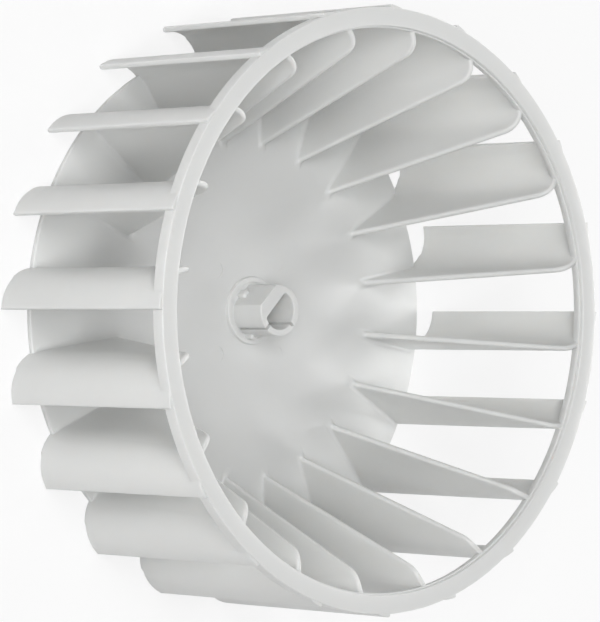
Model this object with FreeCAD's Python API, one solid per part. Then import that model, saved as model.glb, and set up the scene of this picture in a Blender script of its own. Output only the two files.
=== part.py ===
import FreeCAD, Part
import math
import os

# Blower wheel, moulded in one piece: a shallow domed back disc with a split
# D-bore hub, twenty forward-curved blades round its edge, and a front ring that ties their ends.
# Millimetres. The wheel stands on its back end: +Z is the axis, towards the air inlet, and Z = 0
# is the plane of the disc's edge and of the blades' back ends. A blade's tip lies on the X axis.

# Wheel
BLADE_COUNT = 20
TIP_RADIUS = 98.4
WHEEL_DEPTH = 77.3

# Front ring, which the blade tips stand proud of
RING_TIP_STEP = 1.2
RING_WIDTH = 6.0
RING_DEPTH = 4.6
RING_EDGE_BREAK = 0.4
RING_BEAD_HEIGHT = 0.5
RING_BEAD_SETBACK = 1.4
RING_BEAD_WIDTH = 1.7

# Back disc, a thin dome that stands forward of its edge
DISC_TIP_STEP = 10.9
DISC_THICKNESS = 1.8
DISC_RISE = 8.9
DISC_LAND_WIDTH = 2.0

# Blades
BLADE_ARC_RADIUS = 13.5
BLADE_THICKNESS = 1.9
BLADE_LAG = 9.0
BLADE_ROOT_LENGTH = 42.1
BLADE_EAR_LENGTH = 6.4
BLADE_CORNER_RADIUS = 7.0
BLADE_FRONT_SETBACK = 1.5

# Hub
BORE_RADIUS = 6.35
BORE_FLAT_DISTANCE = 2.5
BORE_CORNER_RADIUS = 0.8
PILOT_STEP = 0.45
PILOT_DEPTH = 6.0
TUBE_WALL = 2.2
TUBE_LENGTH = 13.0
TUBE_EDGE_BREAK = 0.4
TUBE_FLAT_DISTANCE = 7.2
HUB_FLAT_AZIMUTH = 135.0
SLIT_WIDTH = 1.1
SLIT_AZIMUTHS = (226.0, 319.0)
COLLAR_WIDTH = 1.7
COLLAR_HEIGHT = 1.1
COLLAR_GROOVE_WIDTH = 1.0
COLLAR_GROOVE_DEPTH = 0.6
FLAT_LUG_AZIMUTH = 134.0
ROUND_LUG_AZIMUTH = 258.5
LUG_WIDTH = 3.0
LUG_DEPTH = 1.3
LUG_HEIGHT = 2.7
LUG_EDGE_BREAK = 0.6
BOSS_WALL = 3.6
BOSS_END_GAP = 1.2
BOSS_DRAFT = 2.0
BOSS_FLARE = 1.5

# Derived sizes
RING_OUTER_RADIUS = TIP_RADIUS - RING_TIP_STEP
RING_INNER_RADIUS = RING_OUTER_RADIUS - RING_WIDTH
DISC_RADIUS = TIP_RADIUS - DISC_TIP_STEP
BLADE_ROOT_RADIUS = TIP_RADIUS - BLADE_ROOT_LENGTH
TUBE_RADIUS = BORE_RADIUS + TUBE_WALL
COLLAR_RADIUS = TUBE_RADIUS + COLLAR_GROOVE_WIDTH + COLLAR_WIDTH
DOME_RADIUS = (DISC_RADIUS ** 2 + DISC_RISE ** 2) / (2.0 * DISC_RISE)
COLLAR_TOP = DISC_THICKNESS + DISC_RISE + COLLAR_HEIGHT
TUBE_TOP = COLLAR_TOP + TUBE_LENGTH
BLADE_PITCH = 360.0 / BLADE_COUNT
REACH = TIP_RADIUS + RING_WIDTH
DIAGONAL = math.sqrt(0.5)

AXIS = FreeCAD.Vector(0, 0, 1)
CENTRE = FreeCAD.Vector(0, 0, 0)


def point(x, y, z):
    return FreeCAD.Vector(x, y, z)


def line(start, end):
    return Part.LineSegment(start, end).toShape()


def arc(start, middle, end):
    return Part.Arc(start, middle, end).toShape()


def loop(points):
    """A closed wire of straight runs through the points."""
    return Part.makePolygon(points + points[:1])


def revolved(profile):
    """A closed wire in the XZ plane, turned once round the wheel's axis."""
    return Part.Face(profile).revolve(CENTRE, AXIS, 360.0)


def turned(shape, azimuth):
    copy = shape.copy()
    copy.rotate(CENTRE, AXIS, azimuth)
    return copy


def dome_height(radius, depth=0.0):
    """Height of the disc's front surface at a radius, or of a surface that lies below it."""
    sagitta = DOME_RADIUS - math.sqrt(DOME_RADIUS ** 2 - radius ** 2)
    return DISC_THICKNESS + DISC_RISE - sagitta - depth


def dome_arc(inner, outer, depth):
    """An arc of the dome in the XZ plane, from an inner to an outer radius."""
    radii = (inner, (inner + outer) / 2.0, outer)
    return arc(*[point(radius, 0, dome_height(radius, depth)) for radius in radii])


def dome_ball(depth=0.0):
    """The ball whose cap is the disc's front surface, or the one below it, with its poles aside."""
    ball = Part.makeSphere(DOME_RADIUS)
    ball.rotate(CENTRE, point(0, 1, 0), 90.0)
    ball.translate(point(0, 0, DISC_THICKNESS + DISC_RISE - DOME_RADIUS - depth))
    return ball


def back_disc():
    """The thin dome, with a flat land under its edge."""
    height = DISC_THICKNESS + DISC_RISE
    outside = Part.makeCylinder(DISC_RADIUS, height).common(dome_ball())
    inside = Part.makeCylinder(DISC_RADIUS - DISC_LAND_WIDTH, height).common(dome_ball(DISC_THICKNESS))
    return outside.cut(inside)


def hub():
    """The hub before its bore is cut: front tube, collar and rear boss, as one turned section."""
    core = BORE_FLAT_DISTANCE / 2.0
    groove = COLLAR_TOP - COLLAR_GROOVE_DEPTH
    groove_outer = TUBE_RADIUS + COLLAR_GROOVE_WIDTH
    collar_foot = dome_height(COLLAR_RADIUS, DISC_THICKNESS / 2.0)
    boss_radius = BORE_RADIUS + BOSS_WALL
    boss_side = dome_height(boss_radius, DISC_THICKNESS) - BOSS_FLARE
    boss_foot = boss_radius + (boss_side - BOSS_END_GAP) * math.tan(math.radians(BOSS_DRAFT))
    return revolved(loop([
        point(boss_foot + BOSS_FLARE, 0, boss_side + BOSS_FLARE),
        point(boss_foot + BOSS_FLARE, 0, collar_foot),
        point(COLLAR_RADIUS, 0, collar_foot),
        point(COLLAR_RADIUS, 0, COLLAR_TOP),
        point(groove_outer, 0, COLLAR_TOP),
        point(groove_outer, 0, groove),
        point(TUBE_RADIUS, 0, groove),
        point(TUBE_RADIUS, 0, TUBE_TOP - TUBE_EDGE_BREAK),
        point(TUBE_RADIUS - TUBE_EDGE_BREAK, 0, TUBE_TOP),
        point(core, 0, TUBE_TOP),
        point(core, 0, BOSS_END_GAP),
        point(boss_radius, 0, BOSS_END_GAP),
        point(boss_foot, 0, boss_side),
    ]))


def front_ring():
    """The ring at the blades' front ends, with broken outer edges and a bead round its inner wall."""
    top = WHEEL_DEPTH
    bottom = WHEEL_DEPTH - RING_DEPTH
    bead_top = top - RING_BEAD_SETBACK
    bead_bottom = bead_top - RING_BEAD_WIDTH
    bead_radius = RING_INNER_RADIUS - RING_BEAD_HEIGHT
    outer_break = RING_OUTER_RADIUS - RING_EDGE_BREAK
    section = [
        point(RING_INNER_RADIUS, 0, top),
        point(outer_break, 0, top),
        point(RING_OUTER_RADIUS, 0, top - RING_EDGE_BREAK),
        point(RING_OUTER_RADIUS, 0, bottom + RING_EDGE_BREAK),
        point(outer_break, 0, bottom),
        point(RING_INNER_RADIUS, 0, bottom),
        point(RING_INNER_RADIUS, 0, bead_bottom),
        point(bead_radius, 0, bead_bottom),
        point(bead_radius, 0, bead_top),
        point(RING_INNER_RADIUS, 0, bead_top),
    ]
    return revolved(loop(section))


def blade_section():
    """A blade's section across the axis: a radial web, a quarter turn and a short straight lip.

    The web lies along X with its convex face on the X axis, and the tip leans towards +Y.
    """
    lip_face = TIP_RADIUS * math.cos(math.radians(BLADE_LAG))
    lip_end = TIP_RADIUS * math.sin(math.radians(BLADE_LAG))
    lip_back = lip_face - BLADE_THICKNESS
    turn_x = lip_face - BLADE_ARC_RADIUS
    turn_y = BLADE_ARC_RADIUS
    root = BLADE_ROOT_RADIUS - BLADE_ARC_RADIUS
    convex = BLADE_ARC_RADIUS * DIAGONAL
    concave = (BLADE_ARC_RADIUS - BLADE_THICKNESS) * DIAGONAL
    return Part.Wire([
        line(point(root, 0, 0), point(turn_x, 0, 0)),
        arc(point(turn_x, 0, 0), point(turn_x + convex, turn_y - convex, 0), point(lip_face, turn_y, 0)),
        line(point(lip_face, turn_y, 0), point(lip_face, lip_end, 0)),
        line(point(lip_face, lip_end, 0), point(lip_back, lip_end, 0)),
        line(point(lip_back, lip_end, 0), point(lip_back, turn_y, 0)),
        arc(point(lip_back, turn_y, 0), point(turn_x + concave, turn_y - concave, 0),
            point(turn_x, BLADE_THICKNESS, 0)),
        line(point(turn_x, BLADE_THICKNESS, 0), point(root, BLADE_THICKNESS, 0)),
        line(point(root, BLADE_THICKNESS, 0), point(root, 0, 0)),
    ])


def blade_outline():
    """A blade's outline seen square to its web: it bounds what is left of the drawn section."""
    ring_middle = RING_OUTER_RADIUS - RING_WIDTH / 2.0
    ear = WHEEL_DEPTH - BLADE_FRONT_SETBACK
    foot_depth = DISC_THICKNESS / 2.0
    foot = dome_height(BLADE_ROOT_RADIUS)
    corner_x = RING_INNER_RADIUS - BLADE_EAR_LENGTH
    slope = math.atan2(corner_x - BLADE_ROOT_RADIUS, ear - foot)

    tangent = BLADE_CORNER_RADIUS * math.tan((math.pi / 2.0 - slope) / 2.0)
    round_start = point(corner_x - tangent * math.sin(slope), 0, ear - tangent * math.cos(slope))
    round_end = point(corner_x + tangent, 0, ear)
    round_centre = point(corner_x + tangent, 0, ear - BLADE_CORNER_RADIUS)
    turn = (math.pi / 2.0 - slope) / 2.0
    round_middle = round_centre + point(-math.sin(turn), 0, math.cos(turn)) * BLADE_CORNER_RADIUS

    buried = DISC_RADIUS - DISC_LAND_WIDTH / 2.0
    foot_x = BLADE_ROOT_RADIUS - foot_depth * math.tan(slope)
    foot_arc = dome_arc(foot_x, buried, foot_depth)
    return Part.Wire([
        line(point(foot_x, 0, dome_height(foot_x, foot_depth)), round_start),
        arc(round_start, round_middle, round_end),
        line(round_end, point(ring_middle, 0, ear)),
        line(point(ring_middle, 0, ear), point(ring_middle, 0, WHEEL_DEPTH)),
        line(point(ring_middle, 0, WHEEL_DEPTH), point(REACH, 0, WHEEL_DEPTH)),
        line(point(REACH, 0, WHEEL_DEPTH), point(REACH, 0, 0)),
        line(point(REACH, 0, 0), point(buried, 0, 0)),
        line(point(buried, 0, 0), point(buried, 0, dome_height(buried, foot_depth))),
        foot_arc,
    ])


def blade():
    """One blade, its tip on the X axis: the drawn section, trimmed to the side outline."""
    drawn = Part.Face(blade_section()).extrude(point(0, 0, WHEEL_DEPTH))
    trim = Part.Face(blade_outline()).extrude(point(0, 2.0 * REACH, 0))
    trim.translate(point(0, -REACH, 0))
    return turned(drawn.common(trim), -BLADE_LAG)


def outer_flat():
    """What the flat takes off the front tube: the slice beyond it, which stops short of the collar."""
    reach = TUBE_RADIUS + COLLAR_GROOVE_WIDTH / 2.0
    length = TUBE_LENGTH + COLLAR_GROOVE_DEPTH
    floor = COLLAR_TOP - COLLAR_GROOVE_DEPTH
    beyond = Part.makeBox(reach, 2.0 * reach, length, point(TUBE_FLAT_DISTANCE, -reach, floor))
    cut = Part.makeCylinder(reach, length, point(0, 0, floor)).common(beyond)
    return turned(cut, HUB_FLAT_AZIMUTH)


def d_section():
    """The bore's section: a circle with a flat and two rounded corners, seen from the front."""
    centre_x = BORE_FLAT_DISTANCE - BORE_CORNER_RADIUS
    centre_distance = BORE_RADIUS - BORE_CORNER_RADIUS
    centre_y = math.sqrt(centre_distance ** 2 - centre_x ** 2)
    leave = point(centre_x, centre_y, 0) * (BORE_RADIUS / centre_distance)
    corner = point(centre_x, centre_y, 0) + point(DIAGONAL, DIAGONAL, 0) * BORE_CORNER_RADIUS
    land = point(BORE_FLAT_DISTANCE, centre_y, 0)

    def below(place):
        return point(place.x, -place.y, 0)

    return Part.Wire([
        arc(leave, point(-BORE_RADIUS, 0, 0), below(leave)),
        arc(below(leave), below(corner), below(land)),
        line(below(land), land),
        arc(land, corner, leave),
    ])


def d_bore():
    """What the bore takes away: the D section, with a round pilot where the shaft enters."""
    bore = Part.Face(d_section()).extrude(point(0, 0, TUBE_TOP))
    pilot = Part.makeCylinder(BORE_RADIUS + PILOT_STEP, BOSS_END_GAP + PILOT_DEPTH)
    return turned(bore, HUB_FLAT_AZIMUTH).fuse(pilot)


def slits():
    """The two cuts that free a spring finger in the tube's wall, under the clamping ring."""
    start = BORE_RADIUS - TUBE_WALL
    length = TUBE_LENGTH + COLLAR_GROOVE_DEPTH
    cut = Part.makeBox(COLLAR_RADIUS - start - COLLAR_WIDTH, SLIT_WIDTH, length,
                       point(start, -SLIT_WIDTH / 2.0, COLLAR_TOP - COLLAR_GROOVE_DEPTH))
    return [turned(cut, azimuth) for azimuth in SLIT_AZIMUTHS]


def lug(wall, azimuth):
    """A small stop on the tube's wall, which stands at a distance from the axis."""
    inside = TUBE_WALL / 2.0
    block = Part.makeBox(inside + LUG_DEPTH, LUG_WIDTH, LUG_HEIGHT + COLLAR_GROOVE_DEPTH,
                         point(wall - inside, -LUG_WIDTH / 2.0, COLLAR_TOP - COLLAR_GROOVE_DEPTH))
    top = [edge for edge in block.Edges if edge.BoundBox.ZMin > COLLAR_TOP]
    return turned(block.makeChamfer(LUG_EDGE_BREAK, top), azimuth)


def lugs():
    """The two stops for the clamping ring: one on the tube's flat, one on its round side."""
    return [lug(TUBE_FLAT_DISTANCE, FLAT_LUG_AZIMUTH), lug(TUBE_RADIUS, ROUND_LUG_AZIMUTH)]


def blower_wheel():
    """The whole moulding as one solid."""
    first = blade()
    blades = [turned(first, index * BLADE_PITCH) for index in range(BLADE_COUNT)]
    wheel = back_disc().multiFuse([hub(), front_ring()] + blades)
    wheel = wheel.cut(outer_flat())
    wheel = wheel.multiFuse(lugs())
    wheel = wheel.cut([d_bore()] + slits())
    return wheel.removeSplitter()


def main():
    os.makedirs("parts", exist_ok=True)
    wheel = blower_wheel()
    wheel.exportStep("parts/blower_wheel.step")
    box = wheel.BoundBox
    print("solids", len(wheel.Solids), "valid", wheel.isValid(), "volume", round(wheel.Volume, 1))
    print("box", [round(value, 2) for value in (box.XMin, box.XMax, box.YMin, box.YMax, box.ZMin, box.ZMax)])


main()
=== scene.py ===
import logging
import math
from dataclasses import dataclass
from enum import Enum

import bmesh
import bpy
import numpy as np
from mathutils import Matrix, Vector


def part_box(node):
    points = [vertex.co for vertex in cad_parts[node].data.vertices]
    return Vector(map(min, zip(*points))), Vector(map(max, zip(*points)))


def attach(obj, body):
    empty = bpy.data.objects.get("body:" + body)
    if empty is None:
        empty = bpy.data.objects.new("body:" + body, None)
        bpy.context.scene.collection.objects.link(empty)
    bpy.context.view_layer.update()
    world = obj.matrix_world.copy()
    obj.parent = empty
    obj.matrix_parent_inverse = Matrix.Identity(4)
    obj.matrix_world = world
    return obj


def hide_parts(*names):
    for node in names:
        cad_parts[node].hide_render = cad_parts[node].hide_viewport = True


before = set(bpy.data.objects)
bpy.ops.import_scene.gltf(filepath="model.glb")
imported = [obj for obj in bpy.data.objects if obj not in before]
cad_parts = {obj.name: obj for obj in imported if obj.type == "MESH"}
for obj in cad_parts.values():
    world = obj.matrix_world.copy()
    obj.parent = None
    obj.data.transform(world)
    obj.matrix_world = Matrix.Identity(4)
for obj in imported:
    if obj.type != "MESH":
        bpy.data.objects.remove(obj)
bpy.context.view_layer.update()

# Sizes are in millimetres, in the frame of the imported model, and meshes are written in metres.
MM = 0.001
NODE = "blower_wheel"
BODY = "root"
SLOT = "moulding"

# How far the ring and the disc lie inside the blade tips.
RING_TIP_STEP = 1.2
DISC_TIP_STEP = 10.9

# Vertices nearer to each other than this, in metres, are one vertex.
MERGE_DISTANCE = 2e-6

# Edges that turn by more than this are shaded sharp.
SHARP_ANGLE = math.radians(32.0)

# The angle at which a foot's fillet is cut off against the disc, so that it doesn't run out to nothing.
FILLET_CUT = math.radians(15.0)

# Heights over the disc at which a blade's foot has rows, as shares of its fillet's radius.
FOOT_SHARES = (-0.3, 0.02, 0.08, 0.2, 0.4, 0.65, 1.0)

# Degrees round a quarter circle at which a rounded edge has points: a blade's front edge, and other edges.
FRONT_EDGE_TURNS = (20.0, 42.0, 66.0, 90.0)
QUARTER_TURNS = (0.0, 30.0, 60.0, 90.0)

# The output of a Mix node that carries its colour.
MIX_COLOUR = 2

log = logging.getLogger("blower_wheel")


class Cut(Enum):
    """How one solid is put together with another."""

    JOIN = "UNION"
    TAKE = "DIFFERENCE"


# Surfaces as arrays


@dataclass
class Shell:
    """A closed surface: vertices in millimetres, and faces of four corners each."""

    points: np.ndarray
    faces: np.ndarray

    @staticmethod
    def grid(places: np.ndarray, wrap_rows: bool = False, wrap_columns: bool = False) -> "Shell":
        """Quads over a grid of places.

        Args:
            places: array of rows by columns by 3.
            wrap_rows: whether the last row joins the first.
            wrap_columns: whether the last column joins the first.

        Returns:
            The shell, whose faces run row, column, next row.
        """
        rows, columns = places.shape[:2]
        index = np.arange(rows * columns).reshape(rows, columns)
        if wrap_rows:
            index = np.concatenate([index, index[:1]], axis=0)
        if wrap_columns:
            index = np.concatenate([index, index[:, :1]], axis=1)
        corners = (index[:-1, :-1], index[:-1, 1:], index[1:, 1:], index[1:, :-1])
        return Shell(places.reshape(-1, 3), np.stack(corners, axis=-1).reshape(-1, 4))

    @staticmethod
    def joined(shells: list["Shell"]) -> "Shell":
        """Several shells as one.

        Args:
            shells: the shells to put into one set of arrays.

        Returns:
            One shell that holds them all.
        """
        starts = np.cumsum([0] + [len(shell.points) for shell in shells[:-1]])
        faces = [shell.faces + start for shell, start in zip(shells, starts)]
        return Shell(np.concatenate([shell.points for shell in shells]), np.concatenate(faces))

    def turned(self, degrees: float) -> "Shell":
        """The same shell, turned about the wheel's axis.

        Args:
            degrees: the angle, counted from +X towards +Y.

        Returns:
            A new shell.
        """
        angle = math.radians(degrees)
        turn = np.array([[math.cos(angle), math.sin(angle), 0.0],
                         [-math.sin(angle), math.cos(angle), 0.0],
                         [0.0, 0.0, 1.0]])
        return Shell(self.points @ turn, self.faces)

    def to_object(self, name: str) -> bpy.types.Object:
        """A mesh object with the shell's doubles merged and its faces pointing out.

        Args:
            name: the object's name.

        Returns:
            The new object, linked to the scene.
        """
        mesh = bpy.data.meshes.new(name)
        mesh.from_pydata((self.points * MM).tolist(), [], self.faces.tolist())
        work = bmesh.new()
        work.from_mesh(mesh)
        bmesh.ops.remove_doubles(work, verts=work.verts, dist=MERGE_DISTANCE)
        bmesh.ops.dissolve_degenerate(work, edges=work.edges, dist=MERGE_DISTANCE)
        bmesh.ops.recalc_face_normals(work, faces=work.faces)
        work.to_mesh(mesh)
        work.free()
        piece = bpy.data.objects.new(name, mesh)
        bpy.context.scene.collection.objects.link(piece)
        return piece


def arc(centre: tuple[float, float], radius: float, start: float, end: float, steps: int) -> np.ndarray:
    """Points on an arc: centre plus radius times the cosine and sine of an angle that runs evenly.

    Args:
        centre: the arc's centre.
        radius: its radius.
        start: first angle in degrees.
        end: last angle in degrees.
        steps: how many stretches it has.

    Returns:
        Array of steps + 1 points.
    """
    angle = np.radians(np.linspace(start, end, steps + 1))
    return np.stack([centre[0] + radius * np.cos(angle), centre[1] + radius * np.sin(angle)], axis=-1)


def rounded(corners: list[tuple[float, float, float]], steps: int = 4) -> np.ndarray:
    """An outline with its corners rounded.

    Each corner has a radius. Its arc touches both sides at radius / tan(half the corner's angle) from the
    corner, and its centre lies on the line that halves the angle.

    Args:
        corners: x, y and radius of each corner, in order round a closed outline.
        steps: stretches in each arc.

    Returns:
        The closed outline's points, without a repeat of the first.
    """
    places = np.array([corner[:2] for corner in corners], dtype=float)
    pieces = []
    for index, (_, _, radius) in enumerate(corners):
        corner = places[index]
        if radius <= 0.0:
            pieces.append(corner[None, :])
            continue
        back = places[index - 1] - corner
        ahead = places[(index + 1) % len(places)] - corner
        back /= np.linalg.norm(back)
        ahead /= np.linalg.norm(ahead)
        half = math.acos(float(np.clip(back @ ahead, -1.0, 1.0))) / 2.0
        middle = (back + ahead) / np.linalg.norm(back + ahead)
        centre = corner + middle * radius / math.sin(half)
        first = corner + back * radius / math.tan(half) - centre
        last = corner + ahead * radius / math.tan(half) - centre
        start = math.atan2(first[1], first[0])
        sweep = (math.atan2(last[1], last[0]) - start + math.pi) % (2.0 * math.pi) - math.pi
        angle = start + sweep * np.linspace(0.0, 1.0, steps + 1)
        pieces.append(centre + radius * np.stack([np.cos(angle), np.sin(angle)], axis=-1))
    return np.concatenate(pieces)


def turned_shell(profile: np.ndarray, segments: int) -> Shell:
    """A profile of radius and height, turned once round the axis.

    A point at radius r and height z goes to (r cos a, r sin a, z) for each angle a.

    Args:
        profile: closed outline of radius and height.
        segments: how many stretches go round.

    Returns:
        The closed shell.
    """
    angle = np.linspace(0.0, 2.0 * math.pi, segments, endpoint=False)[:, None]
    radius = profile[None, :, 0]
    height = np.broadcast_to(profile[None, :, 1], (segments, len(profile)))
    places = np.stack([radius * np.cos(angle), radius * np.sin(angle), height], axis=-1)
    return Shell.grid(places, wrap_rows=True, wrap_columns=True)


def drawn(rings: list[tuple[np.ndarray, float]]) -> Shell:
    """Outlines at rising heights, joined by quads and closed at both ends by fans about their middles.

    Args:
        rings: an outline in the wheel's plane and its height, for each level; all have as many points.

    Returns:
        The closed shell.
    """
    levels = [np.column_stack([outline, np.full(len(outline), height)]) for outline, height in rings]
    ends = [np.broadcast_to(ring.mean(axis=0), ring.shape) for ring in (levels[0], levels[-1])]
    return Shell.grid(np.stack([ends[0], *levels, ends[1]]), wrap_columns=True)


def prism(outline: np.ndarray, bottom: float, top: float) -> Shell:
    """An outline drawn straight up from one height to another."""
    return drawn([(outline, bottom), (outline, top)])


def smooth_step(value: np.ndarray) -> np.ndarray:
    """0 below 0, 1 above 1, and 3x^2 - 2x^3 between."""
    held = np.clip(value, 0.0, 1.0)
    return held * held * (3.0 - 2.0 * held)


def distance_to_line(places: np.ndarray, line: np.ndarray) -> np.ndarray:
    """How far each place is from a line of straight stretches.

    The nearest point of a stretch is its start plus the clipped projection of the place on it.

    Args:
        places: array of any shape by 2.
        line: points of the line, at least 2.

    Returns:
        Distances, in the shape of places without its last axis.
    """
    start = line[:-1]
    along = line[1:] - start
    offset = places[..., None, :] - start
    share = np.clip((offset * along).sum(-1) / np.maximum((along * along).sum(-1), 1e-12), 0.0, 1.0)
    return np.linalg.norm(offset - share[..., None] * along, axis=-1).min(axis=-1)


def combine(piece: bpy.types.Object, other: bpy.types.Object, how: Cut) -> None:
    """Joins another solid to a piece or takes it away, and removes the other.

    Args:
        piece: the solid that stays.
        other: the solid that is used up.
        how: join or take away.
    """
    step = piece.modifiers.new(how.name, "BOOLEAN")
    step.operation = how.value
    step.solver = "MANIFOLD"
    step.object = other
    bpy.context.view_layer.update()
    graph = bpy.context.evaluated_depsgraph_get()
    result = bpy.data.meshes.new_from_object(piece.evaluated_get(graph))
    piece.modifiers.clear()
    spent = piece.data
    piece.data = result
    bpy.data.meshes.remove(spent)
    bpy.data.objects.remove(other)


# The wheel's sub-parts


@dataclass(frozen=True)
class Dome:
    """The shallow dome that the back disc follows, standing forward of its edge."""

    edge_radius: float
    thickness: float = 1.8
    rise: float = 8.9

    @property
    def ball_radius(self) -> float:
        """Radius of the ball that the dome is a cap of."""
        return (self.edge_radius ** 2 + self.rise ** 2) / (2.0 * self.rise)

    def height(self, radius: np.ndarray | float, depth: float = 0.0) -> np.ndarray | float:
        """Height of the front surface: top of the dome less the ball's sagitta at the radius.

        Args:
            radius: distance from the axis.
            depth: how far below the front surface.

        Returns:
            The height over the plane that the wheel stands on.
        """
        held = np.minimum(radius, self.edge_radius)
        sagitta = self.ball_radius - np.sqrt(self.ball_radius ** 2 - held ** 2)
        return self.thickness + self.rise - sagitta - depth


@dataclass
class BackDisc:
    """The thin domed disc with a flat land under its edge."""

    dome: Dome
    land_width: float = 2.0
    edge_round: float = 0.35
    edge_lean: float = 12.0
    edge_steps: int = 4
    radial_steps: int = 26
    segments: int = 240
    pin_radius: float = 3.0
    pin_depth: float = 0.12
    pin_segments: int = 48
    pin_places: tuple[tuple[float, float], ...] = ((20.6, 139.0), (21.0, 224.0), (19.0, 308.5), (20.4, 54.0))

    def pins(self) -> list[Shell]:
        """Cutters for the shallow round marks that the mould's ejector pins leave round the hub.

        Returns:
            One upright cylinder for each mark.
        """
        cutters = []
        for radius, azimuth in self.pin_places:
            floor = float(self.dome.height(radius)) - self.pin_depth
            circle = arc((radius, 0.0), self.pin_radius, 0.0, 360.0, self.pin_segments)[:-1]
            cutters.append(prism(circle, floor, floor + self.dome.thickness).turned(azimuth))
        return cutters

    def shell(self) -> Shell:
        """The disc as one turned outline, from the axis over the dome and back under it.

        Returns:
            The closed shell.
        """
        edge = self.dome.edge_radius
        land = edge - self.land_width
        out = edge - self.edge_round
        over = np.linspace(0.0, out, self.radial_steps)
        under = np.linspace(land, 0.0, self.radial_steps)
        thickness = self.dome.thickness
        outline = np.concatenate([
            np.column_stack([over, self.dome.height(over)]),
            arc((out, thickness - self.edge_round), self.edge_round, 90.0 - self.edge_lean, 0.0,
                self.edge_steps),
            arc((out, self.edge_round), self.edge_round, 0.0, -90.0, self.edge_steps),
            np.array([[land, 0.0]]),
            np.column_stack([under, self.dome.height(under, thickness)]),
        ])
        return turned_shell(outline, self.segments)


@dataclass
class FrontRing:
    """The ring round the air inlet, with rounded edges and a bead round its inner wall."""

    outer_radius: float
    top: float
    width: float = 6.0
    depth: float = 4.6
    outer_round: float = 0.35
    inner_round: float = 0.5
    bead_height: float = 0.5
    bead_setback: float = 1.4
    bead_width: float = 1.7
    bead_round: float = 0.2
    segments: int = 400

    def shell(self) -> Shell:
        """The ring as one closed turned outline, with the bead on its inner wall.

        Returns:
            The closed shell.
        """
        inner = self.outer_radius - self.width
        bottom = self.top - self.depth
        bead_top = self.top - self.bead_setback
        bead_bottom = bead_top - self.bead_width
        bead = inner - self.bead_height
        outline = rounded([
            (inner, self.top, self.inner_round),
            (self.outer_radius, self.top, self.outer_round),
            (self.outer_radius, bottom, self.outer_round),
            (inner, bottom, self.inner_round),
            (inner, bead_bottom, self.bead_round),
            (bead, bead_bottom, self.bead_round),
            (bead, bead_top, self.bead_round),
            (inner, bead_top, self.bead_round),
        ])
        return turned_shell(outline, self.segments)


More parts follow.
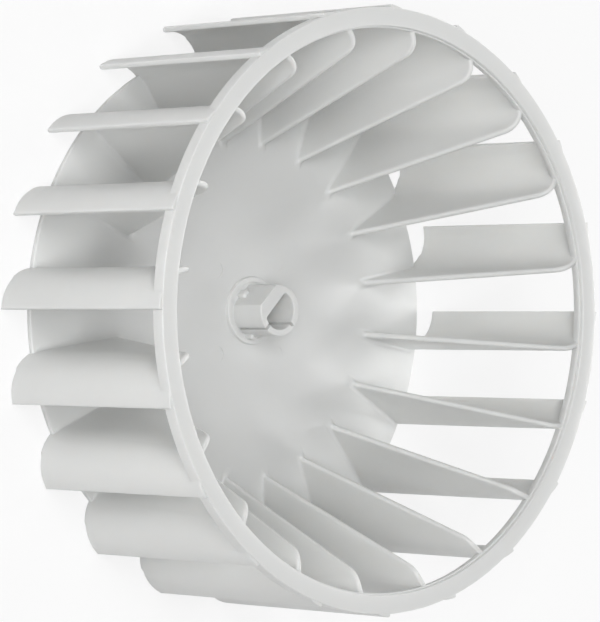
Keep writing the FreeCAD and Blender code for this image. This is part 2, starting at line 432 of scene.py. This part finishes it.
@dataclass
class Blades:
    """The forward-curved blades: a radial web, a quarter turn and a short straight lip.

    A blade is worked out on its middle surface, in the distance s along its section, counted inwards from
    the tip, and the height z. The wall is then put on both sides of that surface.
    """

    dome: Dome
    tip_radius: float
    ring_inner: float
    ring_middle: float
    top: float
    count: int = 20
    arc_radius: float = 13.5
    thickness: float = 1.9
    lag: float = 9.0
    root_length: float = 42.1
    ear_length: float = 6.4
    corner_radius: float = 7.0
    front_setback: float = 1.5
    lip_setback: float = 0.25
    tip_round: float = 0.45
    foot_fillet: float = 1.1
    foot_depth: float = 0.9
    crowding: float = 1.3
    line_foot: float = 22.0
    line_turn: tuple[float, float] = (72.0, 58.5)
    line_share: float = 0.7
    line_width: float = 0.3
    line_step: float = 0.07
    edge_columns: int = 5
    main_columns: int = 16
    lip_columns: int = 12
    main_rows: int = 7
    corner_rows: int = 8
    front_steps: int = 30

    def __post_init__(self) -> None:
        """Works out the section's turning points and the side outline's corner."""
        lag = math.radians(self.lag)
        self.half = self.thickness / 2.0
        self.lip_face = self.tip_radius * math.cos(lag)
        self.lip_end = self.tip_radius * math.sin(lag)
        self.turn_x = self.lip_face - self.arc_radius
        self.middle_radius = self.arc_radius - self.half
        self.lip_length = self.lip_end - self.arc_radius
        self.web_start = self.lip_length + self.middle_radius * math.pi / 2.0
        self.root = self.tip_radius - self.root_length
        self.ear = self.top - self.front_setback
        self.foot = float(self.dome.height(self.root))
        corner = self.ring_inner - self.ear_length
        self.slope = math.atan2(corner - self.root, self.ear - self.foot)
        tangent = self.corner_radius * math.tan((math.pi / 2.0 - self.slope) / 2.0)
        self.round_low = self.ear - tangent * math.cos(self.slope)
        self.round_x = corner + tangent
        self.round_z = self.ear - self.corner_radius

    def section(self, s: np.ndarray) -> tuple[np.ndarray, np.ndarray]:
        """The middle line of the section and its normal towards the convex side.

        Straight down the lip, then round a quarter circle, then straight in along the web.

        Args:
            s: distances along the line from the tip.

        Returns:
            Places and unit normals, each with a last axis of 2.
        """
        turn = np.clip((s - self.lip_length) / self.middle_radius, 0.0, math.pi / 2.0)
        lip = np.maximum(self.lip_length - s, 0.0)
        web = np.maximum(s - self.web_start, 0.0)
        x = self.turn_x + self.middle_radius * np.cos(turn) - web
        y = self.arc_radius - self.middle_radius * np.sin(turn) + lip
        return np.stack([x, y], axis=-1), np.stack([np.cos(turn), -np.sin(turn)], axis=-1)

    def along(self, x: np.ndarray) -> np.ndarray:
        """Distance s at which the middle line has a given x, inwards of the lip."""
        share = np.clip((x - self.turn_x) / self.middle_radius, 0.0, 1.0)
        return self.lip_length + self.middle_radius * np.arccos(share) + np.maximum(self.turn_x - x, 0.0)

    def fillet(self, height: np.ndarray) -> np.ndarray:
        """How far the wall flares at a height over the disc.

        A quarter circle of the fillet's radius, cut off where it meets the disc at FILLET_CUT degrees and
        drawn on straight below that.

        Args:
            height: height over the disc's front surface.

        Returns:
            The flare, 0 above the fillet.
        """
        radius = self.foot_fillet
        low = radius * (1.0 - math.cos(FILLET_CUT))
        held = np.clip(height, low, radius)
        flare = radius - np.sqrt(radius ** 2 - (radius - held) ** 2)
        return flare + np.maximum(low - height, 0.0) / math.tan(FILLET_CUT)

    def inner_edge(self, z: np.ndarray) -> np.ndarray:
        """Distance s of the inner edge at a height: the sloped run, then the lower half of the corner.

        Args:
            z: heights over the plane that the wheel stands on.

        Returns:
            Distances from the tip, along the section.
        """
        run = self.root + (z - self.foot) * math.tan(self.slope)
        drop = np.clip(z - self.round_z, -self.corner_radius, self.corner_radius)
        corner = self.round_x - np.sqrt(self.corner_radius ** 2 - drop ** 2)
        x = np.where(z < self.round_low, run, corner)
        return self.along(x - self.fillet(z - self.dome.height(x)))

    def top_edge(self, s: np.ndarray) -> np.ndarray:
        """Height of the front edge at a distance s: the corner, the ear, and the lip within the ring.

        Args:
            s: distances from the tip, along the section.

        Returns:
            Heights over the plane that the wheel stands on.
        """
        x = self.section(s)[0][..., 0]
        reach = np.clip(self.round_x - x, 0.0, self.corner_radius)
        corner = self.round_z + np.sqrt(self.corner_radius ** 2 - reach ** 2)
        covered = self.along(np.array(self.ring_middle))
        rise = smooth_step((covered - s) / self.thickness)
        return corner + (self.top - self.lip_setback - self.ear) * rise

    def bottom_edge(self, s: np.ndarray) -> np.ndarray:
        """Height of the back edge: inside the disc's thickness, then on the plane the wheel stands on.

        Args:
            s: distances from the tip, along the section.

        Returns:
            Heights over the plane that the wheel stands on.
        """
        radius = np.linalg.norm(self.section(s)[0], axis=-1)
        inside = self.dome.edge_radius - self.thickness / 2.0
        share = smooth_step((inside - radius) / self.half)
        return share * (self.dome.height(radius) - self.foot_depth)

    def grid(self) -> np.ndarray:
        """Places on the middle surface, as rows up the blade and columns from inner edge to tip.

        A row's height runs straight from the inner edge to the tip, and is corrected at the back and the
        front so that the first and the last row lie on those edges.

        Returns:
            Array of rows by columns by 2, of distance s and height z.
        """
        mid_turn = (math.pi / 2.0 - self.slope) / 2.0
        low = self.foot - self.foot_depth
        high = self.round_z + self.corner_radius * math.cos(mid_turn)
        reach = high - low
        near_foot = (self.foot_depth + self.foot_fillet * np.array(FOOT_SHARES)) / reach
        straight = np.linspace(near_foot[-1], (self.round_low - low) / reach, self.main_rows + 1)[1:]
        corner = np.linspace(straight[-1], 1.0 - self.half / reach, self.corner_rows + 1)[1:]
        edge = 1.0 - self.half / reach * (1.0 - np.sin(np.radians(FRONT_EDGE_TURNS)))
        rows = np.concatenate([[0.0], near_foot, straight, corner, edge])[:, None]

        inner_z = low + reach * rows
        tip_z = (self.top - self.lip_setback) * rows
        inner_s = self.inner_edge(inner_z)
        theta = np.linspace(0.0, math.pi / 2.0, self.edge_columns + 1)[None, :]
        near_edge = inner_s - self.half * (1.0 - np.cos(theta)) / math.cos(self.slope)
        tip = self.tip_round * (1.0 - np.sin(np.radians(QUARTER_TURNS)))[None, :]
        share = np.linspace(1.0, 0.0, self.main_columns + 1)[None, 1:-1] ** self.crowding
        line = self.witness_line(inner_z + (tip_z - inner_z) * self.line_share)
        outer = tip[:, :1] + (line - tip[:, :1]) * np.linspace(0.0, 1.0, self.lip_columns + 2)[None, -2:0:-1]
        step = line + self.line_width * np.array([[0.5, -0.5]])
        inner = line + (near_edge[:, -1:] - line) * share
        tip = np.broadcast_to(tip, (len(rows), tip.shape[1]))
        s = np.concatenate([near_edge, inner, step, outer, tip], axis=1)

        across = 1.0 - s / inner_s
        straight_z = inner_z + (tip_z - inner_z) * across
        bottom = self.bottom_edge(inner_s[0] * (1.0 - across)) - (inner_z[0] * (1.0 - across))
        front = self.top_edge(inner_s[-1] * (1.0 - across)) \
            - (inner_z[-1] + (tip_z[-1] - inner_z[-1]) * across)
        return np.stack([s, straight_z + (1.0 - rows) * bottom + rows * front], axis=-1)

    def witness_line(self, z: np.ndarray) -> np.ndarray:
        """Distance s of the faint line that the mould leaves on the convex side.

        It runs round the arc at an angle that falls evenly with the height.

        Args:
            z: heights over the plane that the wheel stands on.

        Returns:
            Distances from the tip, along the section.
        """
        share = (z - self.line_foot) / (self.top - self.line_foot)
        turn = self.line_turn[0] + (self.line_turn[1] - self.line_turn[0]) * share
        return self.lip_length + self.middle_radius * np.radians(turn)

    def witness_step(self, places: np.ndarray) -> np.ndarray:
        """Share of the wall that the convex side keeps: a little less inwards of the witness line.

        The step is a smooth_step across the line, and fades out down the blade and along the web.

        Args:
            places: grid of distance s and height z.

        Returns:
            Shares of half the wall's thickness, one for each place.
        """
        s, z = places[..., 0], places[..., 1]
        beyond = smooth_step((s - self.witness_line(z)) / self.line_width + 0.5)
        fade = smooth_step((z - self.line_foot) / self.line_foot) \
            * (1.0 - smooth_step((s - self.web_start) / self.arc_radius))
        return 1.0 - self.line_step / self.half * beyond * fade

    def half_wall(self, places: np.ndarray) -> np.ndarray:
        """Half the wall's thickness at each place of the middle surface.

        The free inner edge is a half circle: sqrt(h^2 - (h - d)^2) at a distance d from it. The tip and
        the ends have the same round with a smaller radius, on a flat end face. The foot's flare is added.

        Args:
            places: grid of distance s and height z.

        Returns:
            Half thicknesses, one for each place.
        """
        s, z = places[..., 0], places[..., 1]
        covered = float(self.along(np.array(self.ring_middle)))
        front_s = np.linspace(places[-1, 0, 0], covered, self.front_steps)
        free = np.concatenate([places[:, 0], np.column_stack([front_s, self.top_edge(front_s)])])
        lip_top = self.top - self.lip_setback
        hard = np.array([[covered - self.thickness, lip_top], [0.0, lip_top], [0.0, 0.0],
                         [self.web_start / 2.0, 0.0]])
        gap = np.clip(distance_to_line(places, free), 0.0, self.half)
        free_wall = np.sqrt(np.maximum(self.half ** 2 - (self.half - gap) ** 2, 0.0))
        gap = np.clip(distance_to_line(places, hard), 0.0, self.tip_round)
        end_wall = self.half - self.tip_round + np.sqrt(self.tip_round ** 2 - (self.tip_round - gap) ** 2)
        radius = np.linalg.norm(self.section(s)[0], axis=-1)
        on_disc = smooth_step((self.dome.edge_radius - self.foot_fillet - radius) / self.foot_fillet)
        return np.minimum(free_wall, end_wall) + self.fillet(z - self.dome.height(radius)) * on_disc

    def blade(self) -> Shell:
        """One blade as a closed shell, its tip on the X axis.

        The wall's half thickness is laid off along the section's normal, to both sides of the middle surface.

        Returns:
            The closed shell.
        """
        places = self.grid()
        middle, normal = self.section(places[..., 0])
        offset = normal * self.half_wall(places)[..., None]
        height = places[..., 1:]
        convex = np.concatenate([middle + offset * self.witness_step(places)[..., None], height], axis=-1)
        concave = np.concatenate([middle - offset, height], axis=-1)
        rims = [self.rim(side) for side in (convex, concave)]
        edge = Shell.grid(np.stack(rims), wrap_columns=True)
        shells = [Shell.grid(convex), Shell.grid(concave[:, ::-1]), edge]
        return Shell.joined(shells).turned(-self.lag)

    @staticmethod
    def rim(side: np.ndarray) -> np.ndarray:
        """The places round a grid's border, in order, each once."""
        return np.concatenate([side[0, :-1], side[:-1, -1], side[-1, :0:-1], side[:0:-1, 0]])

    def shell(self) -> Shell:
        """All the blades, evenly spaced."""
        one = self.blade()
        return Shell.joined([one.turned(360.0 / self.count * index) for index in range(self.count)])


@dataclass
class Hub:
    """The split tube with its collar in front, the boss behind, and the D-shaped bore through both."""

    dome: Dome
    bore_radius: float = 6.35
    flat_distance: float = 2.5
    bore_corner: float = 0.8
    mouth_round: float = 0.35
    pilot_radius: float = 6.8
    pilot_depth: float = 6.0
    tube_wall: float = 2.2
    tube_length: float = 13.0
    tube_round: float = 0.4
    tube_flat: float = 7.2
    flat_azimuth: float = 135.0
    slit_width: float = 1.1
    slit_azimuths: tuple[float, float] = (226.0, 319.0)
    collar_width: float = 1.7
    collar_height: float = 1.1
    collar_round: float = 0.3
    collar_fillet: float = 0.6
    groove_width: float = 1.0
    groove_depth: float = 0.6
    flat_stop_azimuth: float = 134.0
    round_stop_azimuth: float = 258.5
    stop_width: float = 3.0
    stop_depth: float = 1.3
    stop_height: float = 2.7
    stop_round: float = 0.8
    boss_wall: float = 3.6
    boss_gap: float = 1.2
    boss_flare: float = 1.5
    segments: int = 128
    bore_steps: int = 72
    bore_corner_steps: int = 5
    pilot_steps: int = 96
    flat_steps: int = 24
    stop_steps: int = 6

    def __post_init__(self) -> None:
        """Works out the radii and heights that the parts of the hub share."""
        self.tube_radius = self.bore_radius + self.tube_wall
        self.groove_outer = self.tube_radius + self.groove_width
        self.collar_radius = self.groove_outer + self.collar_width
        self.collar_top = self.dome.thickness + self.dome.rise + self.collar_height
        self.groove_floor = self.collar_top - self.groove_depth
        self.tube_top = self.collar_top + self.tube_length

    def blank(self) -> Shell:
        """The hub before it is bored, as one turned outline.

        Returns:
            The closed shell.
        """
        seat = float(self.dome.height(self.collar_radius))
        buried = seat - self.dome.thickness / 2.0
        boss = self.bore_radius + self.boss_wall
        under = float(self.dome.height(boss, self.dome.thickness))
        skirt = self.collar_radius + self.collar_fillet
        outline = rounded([
            (0.0, self.tube_top, 0.0),
            (self.tube_radius, self.tube_top, self.tube_round),
            (self.tube_radius, self.groove_floor, self.collar_round),
            (self.groove_outer, self.groove_floor, self.collar_round),
            (self.groove_outer, self.collar_top, self.collar_round / 2.0),
            (self.collar_radius, self.collar_top, self.collar_round),
            (self.collar_radius, seat - self.collar_fillet / 4.0, self.collar_fillet),
            (skirt + self.collar_fillet, seat - self.collar_fillet / 4.0, 0.0),
            (skirt + self.collar_fillet, buried, 0.0),
            (boss + 2.0 * self.boss_flare, buried, 0.0),
            (boss + self.boss_flare, under, 0.0),
            (boss, under - self.boss_flare, self.boss_flare / 2.0),
            (boss, self.boss_gap, self.collar_round),
            (0.0, self.boss_gap, 0.0),
        ])
        return turned_shell(outline, self.segments)

    def d_outline(self, grown: float = 0.0) -> np.ndarray:
        """The D: a circle cut by a flat, with the two corners rounded, moved outwards by a distance.

        Args:
            grown: how far every side moves outwards.

        Returns:
            The closed outline's points, without a repeat of the first.
        """
        radius, corner = self.bore_radius + grown, self.bore_corner + grown
        centre = self.flat_distance - self.bore_corner
        across = math.sqrt((radius - corner) ** 2 - centre ** 2)
        lean = math.degrees(math.atan2(across, centre))
        return np.concatenate([
            arc((0.0, 0.0), radius, lean, 360.0 - lean, self.bore_steps),
            arc((centre, -across), corner, -lean, 0.0, self.bore_corner_steps)[1:],
            arc((centre, across), corner, 0.0, lean, self.bore_corner_steps)[:-1],
        ])

    def bore(self) -> Shell:
        """The D-shaped bore, with a rounded mouth at the tube's end.

        The mouth is a quarter circle: the outline grows by b (1 - cos t) while it rises by b sin t.

        Returns:
            The closed shell to take away.
        """
        mouth = self.mouth_round
        turn = np.radians(QUARTER_TURNS)
        rings = [(self.d_outline(), 0.0)]
        rings += [(self.d_outline(mouth * (1.0 - math.cos(t))), self.tube_top - mouth * (1.0 - math.sin(t)))
                  for t in turn]
        rings.append((self.d_outline(mouth), self.tube_top + self.tube_wall))
        return drawn(rings).turned(self.flat_azimuth)

    def pilot(self) -> Shell:
        """The round lead-in at the bore's back end."""
        circle = arc((0.0, 0.0), self.pilot_radius, 0.0, 360.0, self.pilot_steps)[:-1]
        return prism(circle, 0.0, self.boss_gap + self.pilot_depth)

    def box(self, near: float, far: float, width: float, low: float, high: float, azimuth: float) -> Shell:
        """An upright box that reaches out from the axis.

        Args:
            near: distance from the axis where it starts.
            far: distance where it ends.
            width: its size across.
            low: height of its lower face.
            high: height of its upper face.
            azimuth: the way it points, in degrees.

        Returns:
            The closed shell.
        """
        half = width / 2.0
        outline = np.array([[near, -half], [far, -half], [far, half], [near, half]])
        return prism(outline, low, high).turned(azimuth)

    def cutters(self) -> list[Shell]:
        """What is taken away: the tube's outer flat, the bore, its lead-in and the two slits.

        The stops are joined on after the first and before the others.

        Returns:
            The shells in that order.
        """
        above = self.tube_top + self.tube_wall
        reach = (self.tube_radius + self.groove_outer) / 2.0
        lean = math.degrees(math.acos(self.tube_flat / reach))
        beyond_flat = prism(arc((0.0, 0.0), reach, -lean, lean, self.flat_steps), self.groove_floor, above)
        inner = self.bore_radius - self.tube_wall
        slits = [self.box(inner, self.groove_outer, self.slit_width, self.groove_floor, above, azimuth)
                 for azimuth in self.slit_azimuths]
        return [beyond_flat.turned(self.flat_azimuth), self.bore(), self.pilot(), *slits]

    def stop(self, wall: float, azimuth: float) -> Shell:
        """A small rounded stop on the tube's wall, drawn up as an outline that shrinks towards its top.

        The outline moves in by radius times (1 - cos t) while it rises by radius times sin t.

        Args:
            wall: the wall's distance from the axis.
            azimuth: where it stands, in degrees.

        Returns:
            The closed shell.
        """
        half = self.stop_width / 2.0
        near = wall - self.tube_wall / 2.0
        far = wall + self.stop_depth
        low, high = self.groove_floor - self.groove_depth, self.collar_top + self.stop_height
        turn = np.linspace(0.0, math.pi / 2.0, self.stop_steps + 1)
        inset = self.stop_round * np.concatenate([[0.0], 1.0 - np.cos(turn)])
        height = np.concatenate([[low], high - self.stop_round * (1.0 - np.sin(turn))])
        rings = []
        for step, level in zip(inset, height):
            ring = rounded([(near, -half + step, 0.0), (far - step, -half + step, self.stop_round),
                            (far - step, half - step, self.stop_round), (near, half - step, 0.0)])
            rings.append((ring, level))
        return drawn(rings).turned(azimuth)

    def stops(self) -> list[Shell]:
        """The two stops for a clamping ring: one on the tube's flat, one on its round side."""
        return [self.stop(self.tube_flat, self.flat_stop_azimuth),
                self.stop(self.tube_radius, self.round_stop_azimuth)]


# Finish


class Tone:
    """A shader value: operators on it add Math nodes."""

    def __init__(self, tree: "Tree", socket: bpy.types.NodeSocket) -> None:
        """Keeps the node tree and the socket that carries the value."""
        self.tree = tree
        self.socket = socket

    def math(self, operation: str, first: "Tone | float", second: "Tone | float") -> "Tone":
        """A Math node on two values.

        Args:
            operation: the node's operation.
            first: the upper input.
            second: the lower input.

        Returns:
            The node's value.
        """
        return self.tree.node("ShaderNodeMath", {"operation": operation}, {0: first, 1: second})

    def __add__(self, other: "Tone | float") -> "Tone":
        """Sum."""
        return self.math("ADD", self, other)

    def __sub__(self, other: "Tone | float") -> "Tone":
        """Difference."""
        return self.math("SUBTRACT", self, other)

    def __rsub__(self, other: float) -> "Tone":
        """Difference from a number."""
        return self.math("SUBTRACT", other, self)

    def __mul__(self, other: "Tone | float") -> "Tone":
        """Product."""
        return self.math("MULTIPLY", self, other)

    __radd__ = __add__
    __rmul__ = __mul__


class Tree:
    """The node tree of a material or a world, with one method that makes any node."""

    def __init__(self, owner: bpy.types.Material | bpy.types.World) -> None:
        """Empties the node tree of a material or a world.

        Args:
            owner: what the node tree belongs to.
        """
        owner.use_nodes = True
        self.nodes = owner.node_tree.nodes
        self.links = owner.node_tree.links
        self.nodes.clear()

    def node(self, kind: str, settings: dict | None = None, inputs: dict | None = None,
             output: int | str = 0) -> Tone | None:
        """Makes a node.

        Args:
            kind: the node's type.
            settings: its own settings, such as a Math node's operation, set first.
            inputs: values, or other nodes' tones, by socket name or number.
            output: which of its outputs to return.

        Returns:
            That output as a tone, or None where the node has no outputs.
        """
        made = self.nodes.new(kind)
        for name, value in (settings or {}).items():
            setattr(made, name, value)
        for name, value in (inputs or {}).items():
            if isinstance(value, Tone):
                self.links.new(value.socket, made.inputs[name])
            else:
                made.inputs[name].default_value = value
        return Tone(self, made.outputs[output]) if made.outputs else None


@dataclass(frozen=True)
class MouldedPlastic:
    """Natural white polypropylene as it comes from the mould: satin, with faint flow and fine grain."""

    colour: tuple[float, float, float] = (0.737, 0.742, 0.732)
    shade: tuple[float, float, float] = (0.695, 0.701, 0.694)
    roughness: float = 0.36
    roughness_change: float = 0.10
    flow_size: float = 38.0
    grain_size: float = 0.7
    grain_depth: float = 0.012
    flow_detail: float = 3.0
    flow_roughness: float = 0.5
    grain_detail: float = 2.0
    grain_strength: float = 0.35
    refraction: float = 1.49
    subsurface: float = 0.5
    subsurface_depth: float = 2.5
    subsurface_spread: tuple[float, float, float] = (1.0, 0.95, 0.9)

    def material(self, name: str) -> bpy.types.Material:
        """The node material.

        Args:
            name: the material's name.

        Returns:
            The new material.
        """
        made = bpy.data.materials.new(name)
        tree = Tree(made)
        place = tree.node("ShaderNodeTexCoord", output="Object")
        flow = tree.node("ShaderNodeTexNoise", None,
                         {"Vector": place, "Scale": 1.0 / (self.flow_size * MM),
                          "Detail": self.flow_detail, "Roughness": self.flow_roughness})
        grain = tree.node("ShaderNodeTexNoise", None,
                          {"Vector": place, "Scale": 1.0 / (self.grain_size * MM),
                           "Detail": self.grain_detail})
        colour = tree.node("ShaderNodeMix", {"data_type": "RGBA"},
                           {"Factor": flow, "A": (*self.colour, 1.0), "B": (*self.shade, 1.0)},
                           output=MIX_COLOUR)
        roughness = flow * self.roughness_change + (self.roughness - self.roughness_change / 2.0)
        bump = tree.node("ShaderNodeBump", None,
                         {"Strength": self.grain_strength, "Distance": self.grain_depth * MM,
                          "Height": grain})
        surface = tree.node("ShaderNodeBsdfPrincipled", None, {
            "Base Color": colour, "Roughness": roughness, "Normal": bump, "IOR": self.refraction,
            "Subsurface Weight": self.subsurface, "Subsurface Scale": self.subsurface_depth * MM,
            "Subsurface Radius": self.subsurface_spread})
        tree.node("ShaderNodeOutputMaterial", None, {"Surface": surface})
        return made


@dataclass(frozen=True)
class PaleFloor:
    """A white floor, which the camera sees as nearly white with a faint part of the wheel's shadow."""

    colour: tuple[float, float, float] = (0.9, 0.9, 0.9)
    whiteness: float = 0.78

    def material(self, name: str) -> bpy.types.Material:
        """The node material.

        Args:
            name: the material's name.

        Returns:
            The new material.
        """
        made = bpy.data.materials.new(name)
        tree = Tree(made)
        seen = tree.node("ShaderNodeLightPath", output="Is Camera Ray")
        matte = tree.node("ShaderNodeBsdfDiffuse", None, {"Color": (*self.colour, 1.0)})
        white = tree.node("ShaderNodeEmission", None, {"Color": (1.0, 1.0, 1.0, 1.0), "Strength": 1.0})
        surface = tree.node("ShaderNodeMixShader", None, {0: seen * self.whiteness, 1: matte, 2: white})
        tree.node("ShaderNodeOutputMaterial", None, {"Surface": surface})
        return made


# The whole wheel


class BlowerWheel:
    """The moulding, put together from its sub-parts into one closed piece."""

    def __init__(self, box: tuple[Vector, Vector]) -> None:
        """Sizes the sub-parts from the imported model's box.

        Args:
            box: lowest and highest corner of the wheel, in metres.
        """
        tip_radius = box[1][0] / MM
        top = box[1][2] / MM
        ring_outer = tip_radius - RING_TIP_STEP
        dome = Dome(tip_radius - DISC_TIP_STEP)
        self.disc = BackDisc(dome)
        self.ring = FrontRing(ring_outer, top)
        self.blades = Blades(dome, tip_radius, ring_inner=ring_outer - self.ring.width,
                             ring_middle=ring_outer - self.ring.width / 2.0, top=top)
        self.hub = Hub(dome)

    def build(self) -> bpy.types.Object:
        """Joins the sub-parts, bores the hub and smooths what is round.

        Returns:
            The finished object, without a material.
        """
        wheel = self.disc.shell().to_object("wheel")
        for pin in self.disc.pins():
            combine(wheel, pin.to_object("pin"), Cut.TAKE)
        combine(wheel, self.hub.blank().to_object("hub"), Cut.JOIN)
        combine(wheel, self.blades.shell().to_object("blades"), Cut.JOIN)
        combine(wheel, self.ring.shell().to_object("ring"), Cut.JOIN)
        cutters = self.hub.cutters()
        combine(wheel, cutters[0].to_object("cutter"), Cut.TAKE)
        for stop in self.hub.stops():
            combine(wheel, stop.to_object("stop"), Cut.JOIN)
        for cutter in cutters[1:]:
            combine(wheel, cutter.to_object("cutter"), Cut.TAKE)
        self.smooth(wheel.data)
        return wheel

    @staticmethod
    def smooth(mesh: bpy.types.Mesh) -> None:
        """Shades the mesh smooth, with true edges kept sharp.

        Args:
            mesh: the mesh to shade.
        """
        mesh.polygons.foreach_set("use_smooth", np.ones(len(mesh.polygons), dtype=bool))
        mesh.set_sharp_from_angle(angle=SHARP_ANGLE)
        mesh.update()

    def dressed(self) -> bpy.types.Object:
        """The wheel with its finish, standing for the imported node.

        Returns:
            The finished object.
        """
        wheel = self.build()
        wheel.data.materials.clear()
        wheel.data.materials.append(MouldedPlastic().material(SLOT))
        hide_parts(NODE)
        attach(wheel, BODY)
        triangles = sum(len(face.vertices) - 2 for face in wheel.data.polygons)
        log.info("%s: %d triangles", wheel.name, triangles)
        return wheel


# Camera, floor and light


@dataclass(frozen=True)
class Lamp:
    """A square soft lamp: where it hangs as seen from the wheel, in degrees, and its power in watts."""

    name: str
    azimuth: float
    elevation: float
    power: float
    distance: float = 1.4
    size: float = 0.5


LAMPS = (
    Lamp("key", 150.0, 56.0, 6.4),
    Lamp("key_high", 150.0, 74.0, 1.1),
    Lamp("front_low", 200.0, 20.0, 1.4),
    Lamp("front_middle", 190.0, 38.0, 3.7),
    Lamp("front_high", 190.0, 56.0, 5.4),
    Lamp("side_below", -35.0, 14.0, 5.0),
    Lamp("side_low", 0.0, 14.0, 3.7),
    Lamp("side_high", 0.0, 32.0, 1.7),
    Lamp("side_turned", 35.0, 14.0, 5.8),
)


@dataclass
class Studio:
    """The camera at the photograph's angle, a pale floor and soft lamps.

    The camera looks down the wheel's axis, turned by yaw about +Y, the picture's upright, and then by turn
    about the axis, in degrees. The middle of the ring's front lies ring_right to its right, ring_down below
    and ring_away in front of it, in millimetres.
    """

    top: float
    yaw: float = 43.23
    turn: float = 0.29
    ring_right: float = 29.34
    ring_down: float = -0.14
    ring_away: float = 1148.2
    lens: float = 207.3
    sensor: float = 36.0
    view_end: float = 50.0
    floor_size: float = 8.0
    room_light: float = 0.06

    def camera(self) -> None:
        """Puts the camera where the middle of the ring's front lies at its measured place in the view."""
        yaw = math.radians(self.yaw)
        right = Vector((math.cos(yaw), 0.0, math.sin(yaw)))
        away = Vector((math.sin(yaw), 0.0, -math.cos(yaw)))
        up = Vector((0.0, 1.0, 0.0))
        ring = Vector((0.0, 0.0, self.top))
        place = (ring - self.ring_right * right + self.ring_down * up - self.ring_away * away) * MM
        view = Matrix((right, up, -away)).transposed().to_4x4()
        turn = Matrix.Rotation(math.radians(self.turn), 4, "Z")
        lens = bpy.data.cameras.new("camera")
        lens.lens = self.lens
        lens.sensor_width = self.sensor
        lens.clip_end = self.view_end
        camera = bpy.data.objects.new("camera", lens)
        camera.matrix_world = turn @ Matrix.Translation(place) @ view
        bpy.context.scene.collection.objects.link(camera)
        bpy.context.scene.camera = camera

    def floor(self) -> None:
        """Lays the floor that the wheel stands on."""
        half = self.floor_size / 2.0
        mesh = bpy.data.meshes.new("floor")
        mesh.from_pydata([(-half, -half, 0.0), (half, -half, 0.0), (half, half, 0.0), (-half, half, 0.0)], [],
                         [(0, 1, 2, 3)])
        floor = bpy.data.objects.new("floor", mesh)
        mesh.materials.append(PaleFloor().material("floor"))
        bpy.context.scene.collection.objects.link(floor)

    def hang(self, lamp: Lamp) -> None:
        """Hangs a square soft lamp that faces the wheel.

        Args:
            lamp: where it hangs, its size and its power.
        """
        target = Vector((0.0, 0.0, self.top / 2.0 * MM))
        azimuth, elevation = math.radians(lamp.azimuth), math.radians(lamp.elevation)
        towards = Vector((math.cos(azimuth) * math.cos(elevation), math.sin(azimuth) * math.cos(elevation),
                          math.sin(elevation)))
        light = bpy.data.lights.new(lamp.name, "AREA")
        light.size = lamp.size
        light.energy = lamp.power
        piece = bpy.data.objects.new(lamp.name, light)
        piece.location = target + towards * lamp.distance
        piece.rotation_euler = (-towards).to_track_quat("-Z", "Y").to_euler()
        bpy.context.scene.collection.objects.link(piece)

    def world(self) -> None:
        """An even pale room, which the camera sees as plain white."""
        room = bpy.data.worlds.new("room")
        tree = Tree(room)
        seen = tree.node("ShaderNodeLightPath", output="Is Camera Ray")
        strength = seen * (1.0 - self.room_light) + self.room_light
        surface = tree.node("ShaderNodeBackground", None,
                            {"Color": (1.0, 1.0, 1.0, 1.0), "Strength": strength})
        tree.node("ShaderNodeOutputWorld", None, {"Surface": surface})
        bpy.context.scene.world = room

    def build(self) -> None:
        """Makes the camera, the floor and the lamps."""
        self.camera()
        self.floor()
        for lamp in LAMPS:
            self.hang(lamp)
        self.world()
        bpy.context.scene.view_settings.view_transform = "Standard"


def main() -> None:
    """Builds the wheel and the studio."""
    logging.basicConfig(level=logging.INFO, format="%(message)s")
    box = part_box(NODE)
    studio = Studio(top=box[1][2] / MM)
    studio.build()
    BlowerWheel(box).dressed()


if __name__ == "__main__":
    main()
